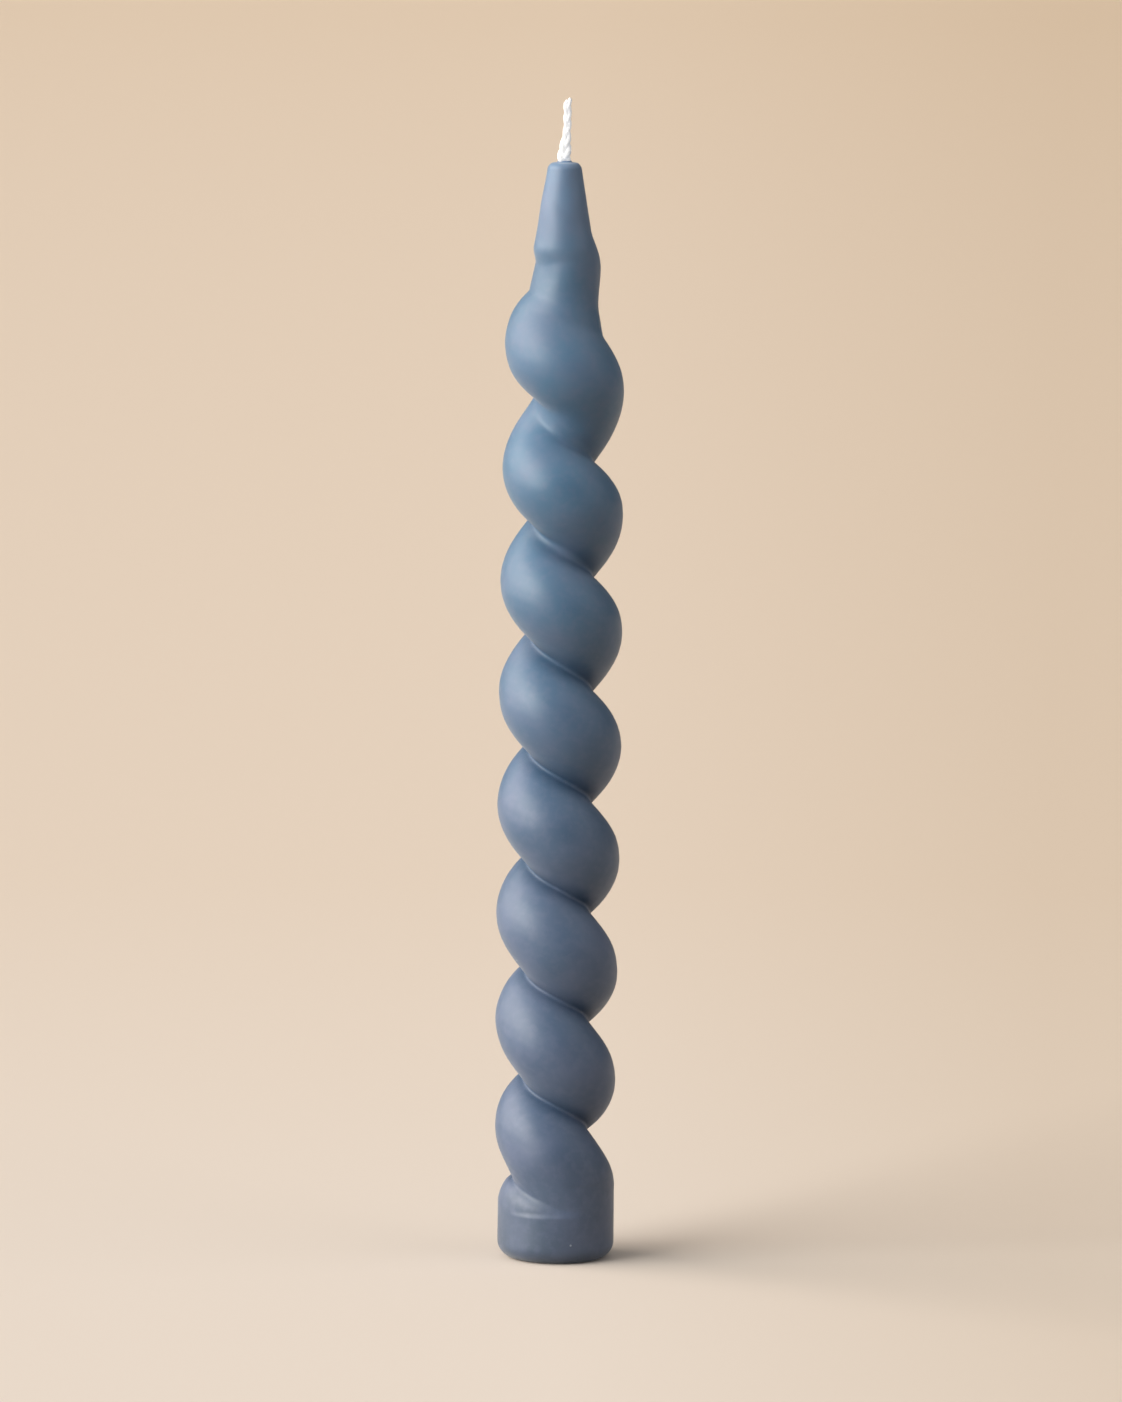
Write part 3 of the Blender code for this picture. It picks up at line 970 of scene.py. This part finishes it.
@dataclass
class WaxBody:
    """The one poured casting: foot, coil, neck and cone, and the wax that climbs the wick."""

    foot: Foot = field(default_factory=Foot)
    coil: RopeCoil = field(default_factory=RopeCoil)
    neck: Neck = field(default_factory=Neck)
    tip: Tip = field(default_factory=Tip)
    skin: Unevenness = field(default_factory=Unevenness)
    join_fillet: float = 0.8 * MM
    collar_fillet: float = 3.3 * MM
    climb: float = 0.38 * MM
    climb_width: float = 0.16 * MM
    climb_start: float = 0.3 * MM
    wick_half_width: float = 1.24 * MM
    wick_half_depth: float = 0.86 * MM
    dimple_depth: float = 0.6 * MM
    dimple_radius: float = 1.9 * MM
    dimple_edge: float = 0.6 * MM
    columns: int = 256
    row_spacing: float = 0.27 * MM
    edge_rows: int = 14
    cap_rings: int = 16
    first_base_ring: float = 0.02
    base_ring_crowding: float = 1.6
    finish: DyedWaxFinish = field(default_factory=DyedWaxFinish)

    @property
    def tip_base(self) -> float:
        """Height where the cone proper starts."""
        return self.coil.end_height + self.neck.length + self.tip.heel_rise

    @property
    def height(self) -> float:
        """Height of the wax, up to the rim round the wick."""
        return self.tip_base + self.tip.length

    def reach(self, angles: np.ndarray, heights: np.ndarray) -> np.ndarray:
        """Measures from the axis to the wax's outer face.

        Args:
            angles: Direction of each point from the axis.
            heights: Height of each point.

        Returns:
            The reach at each point.
        """
        plug = self.foot.reach(angles, heights)
        lower = self.foot.hold(fillet_join(plug, self.coil.reach(angles, heights), self.join_fillet), heights)
        cone = self.tip.reach(heights - self.tip_base)
        upper = fillet_join(self.neck.reach(angles, heights, self.coil), cone, self.join_fillet)
        outer = fillet_join(lower, upper, self.collar_fillet) - self.foot.hollow(angles, heights)
        return np.where(heights < self.foot.height, plug, outer)

    def row_heights(self) -> np.ndarray:
        """Returns the heights of the rows, which crowd together over the two rounded edges."""
        quarter = np.linspace(0.0, math.pi / 2.0, self.edge_rows + 1)
        lower = self.foot.edge_radius * (1.0 - np.cos(quarter))
        upper = self.height - self.tip.edge_radius * (1.0 - np.cos(quarter))[::-1]
        count = round((upper[0] - lower[-1]) / self.row_spacing)
        return np.concatenate([lower[:-1], np.linspace(lower[-1], upper[0], count), upper[1:]])

    def side_rings(self) -> np.ndarray:
        """Returns the outer face, as rings by columns by x, y and z."""
        heights = self.row_heights()[:, None]
        angles = (FULL_TURN * np.arange(self.columns) / self.columns)[None, :]
        wrapped = np.where(angles > math.pi, angles - FULL_TURN, angles)
        reach = self.reach(wrapped, heights)
        from_ends = np.minimum(heights, self.height - heights)
        waves = self.skin.rise(wrapped, heights) * ease(from_ends / self.foot.edge_radius)
        return on_circle(reach + waves, angles, heights)

    def top_rings(self, rim: np.ndarray) -> np.ndarray:
        """Closes the top over the wick's buried end, and lets the wax climb the wick.

        Args:
            rim: The last ring of the outer face.

        Returns:
            Rings from the rim inwards, as rings by columns by x, y and z.
        """
        angles = np.arctan2(rim[:, 1], rim[:, 0])
        start = np.hypot(rim[:, 0], rim[:, 1])
        wick = 1.0 / np.hypot(np.cos(angles) / self.wick_half_width, np.sin(angles) / self.wick_half_depth)
        rings = []
        for step in range(1, self.cap_rings + 1):
            radius = start * (1.0 - step / (self.cap_rings + 1))
            past_wick = np.clip(radius - wick, 0.0, None)
            from_rim = ease((start - radius) / self.climb_start)
            climbed = self.climb * np.exp(-past_wick / self.climb_width) * from_rim
            rings.append(on_circle(radius, angles, self.height + climbed))
        return np.array(rings)

    def base_rings(self, rim: np.ndarray) -> np.ndarray:
        """Closes the flat underside, with a dimple where the wick ends.

        Args:
            rim: The first ring of the outer face.

        Returns:
            Rings from the middle outwards, as rings by columns by x, y and z.
        """
        angles = np.arctan2(rim[:, 1], rim[:, 0])
        start = np.hypot(rim[:, 0], rim[:, 1])
        shares = np.linspace(self.first_base_ring, 1.0, self.cap_rings, endpoint=False)
        rings = []
        for share in shares**self.base_ring_crowding:
            radius = start * share
            dimple = self.dimple_depth * ease((self.dimple_radius - radius) / self.dimple_edge)
            rings.append(on_circle(radius, angles, dimple))
        return np.array(rings)

    def build(self) -> bpy.types.Object:
        """Builds and dresses the wax.

        Returns:
            The wax's object.
        """
        side = self.side_rings()
        rings = np.concatenate([self.base_rings(side[0]), side, self.top_rings(side[-1])])
        faces = tube_faces(len(rings), self.columns, closed=True)
        wax = show_mesh("wax_body_cast", rings.reshape(-1, 3), faces)
        wax.data.materials.append(self.finish.make())
        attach(wax, BODY)
        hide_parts("wax_body")
        return wax


@dataclass(frozen=True)
class SoftLight:
    """One large soft light, so far off that it lights the whole floor evenly.

    The elevation and the width are in degrees. The width is the angle that the light takes up, seen from the
    candle. The strength is in watts per square metre on a face turned straight to the light.
    """

    name: str
    side: Side
    elevation: float
    width: float
    strength: float
    colour: str

    def build(self) -> None:
        """Adds the light to the scene."""
        data = bpy.data.lights.new(self.name, "SUN")
        data.angle = math.radians(self.width)
        data.energy = self.strength
        data.color = linear_colour(self.colour)[:3]
        light = bpy.data.objects.new(self.name, data)
        azimuth, elevation = math.radians(self.side.value), math.radians(self.elevation)
        level = math.cos(elevation)
        away = Vector((-math.sin(azimuth) * level, -math.cos(azimuth) * level, math.sin(elevation)))
        light.location = away
        light.rotation_mode = "QUATERNION"
        light.rotation_quaternion = away.to_track_quat("Z", "Y")
        bpy.context.scene.collection.objects.link(light)


@dataclass
class Studio:
    """The plain pale floor, the soft light and the camera at the photograph's angle."""

    floor_radii: tuple[float, ...] = (20.0, 1.0, 0.1)
    floor_sides: int = 64
    room_colour: str = "#fffaf2"
    room_strength: float = 0.08
    lights: tuple[SoftLight, ...] = (
        SoftLight("window_light", Side.LEFT_FRONT, 23.0, 46.0, 2.98, "#fffcf6"),
        SoftLight("back_light", Side.LEFT_BACK, 24.0, 50.0, 2.1, "#fff3e6"),
        SoftLight("ceiling_light", Side.LEFT_FRONT, 82.0, 100.0, 0.7, "#fffaf2"),
        SoftLight("wall_light", Side.RIGHT, 24.0, 60.0, 0.5, "#fafbff"),
    )
    paper: PaperFinish = field(default_factory=PaperFinish)
    eye: tuple[float, float, float] = (0.00018, -1.690, 0.313)
    camera_tilt: float = 6.989  # degrees below level
    camera_roll: float = 0.49  # degrees
    focal_pixels: float = 9059.3
    picture_height: float = 1402.0  # pixels
    sensor: float = 36.0  # millimetres

    def floor(self) -> None:
        """Lays the floor, a wide disc at height 0."""
        turn = FULL_TURN * np.arange(self.floor_sides) / self.floor_sides
        rings = [on_circle(radius, turn, 0.0) for radius in self.floor_radii]
        faces = tube_faces(len(rings), self.floor_sides, closed=False)
        faces.append(tuple(range((len(rings) - 1) * self.floor_sides, len(rings) * self.floor_sides)))
        floor = show_mesh("floor", np.concatenate(rings), faces)
        floor.data.materials.append(self.paper.make())
        # The light that the paper would throw back up on the candle is left out.
        floor.visible_diffuse = False

    def room(self) -> None:
        """Fills the room with even light."""
        world = bpy.data.worlds.new("room")
        world.use_nodes = True
        tree = world.node_tree
        tree.nodes.clear()
        light = {"Color": linear_colour(self.room_colour), "Strength": self.room_strength}
        glow = add_node(tree, "ShaderNodeBackground", light)
        add_node(tree, "ShaderNodeOutputWorld", {"Surface": glow.outputs["Background"]})
        bpy.context.scene.world = world

    def camera(self) -> None:
        """Sets the camera up, at the place and angle that the photograph was taken from."""
        data = bpy.data.cameras.new("camera")
        data.sensor_width = self.sensor
        data.lens = self.focal_pixels / self.picture_height * self.sensor
        camera = bpy.data.objects.new("camera", data)
        look = Matrix.Rotation(math.radians(90.0 - self.camera_tilt), 4, "X")
        roll = Matrix.Rotation(math.radians(self.camera_roll), 4, "Z")
        camera.matrix_world = Matrix.Translation(self.eye) @ look @ roll
        bpy.context.scene.collection.objects.link(camera)
        bpy.context.scene.camera = camera

    def build(self) -> None:
        """Builds the floor, the light and the camera."""
        self.floor()
        self.room()
        for light in self.lights:
            light.build()
        self.camera()
        bpy.context.scene.view_settings.view_transform = "Standard"


def main() -> None:
    """Builds the candle and its studio."""
    logging.basicConfig(level=logging.INFO, format="%(name)s: %(message)s")
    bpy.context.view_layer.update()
    Studio().build()
    wax = WaxBody()
    pieces = [wax.build(), *Wick(mouth=wax.height).build()]
    for piece in pieces:
        log.info("%s: %d faces, %.1f mm tall", piece.name, len(piece.data.polygons), piece.dimensions.z / MM)


if __name__ == "__main__":
    main()
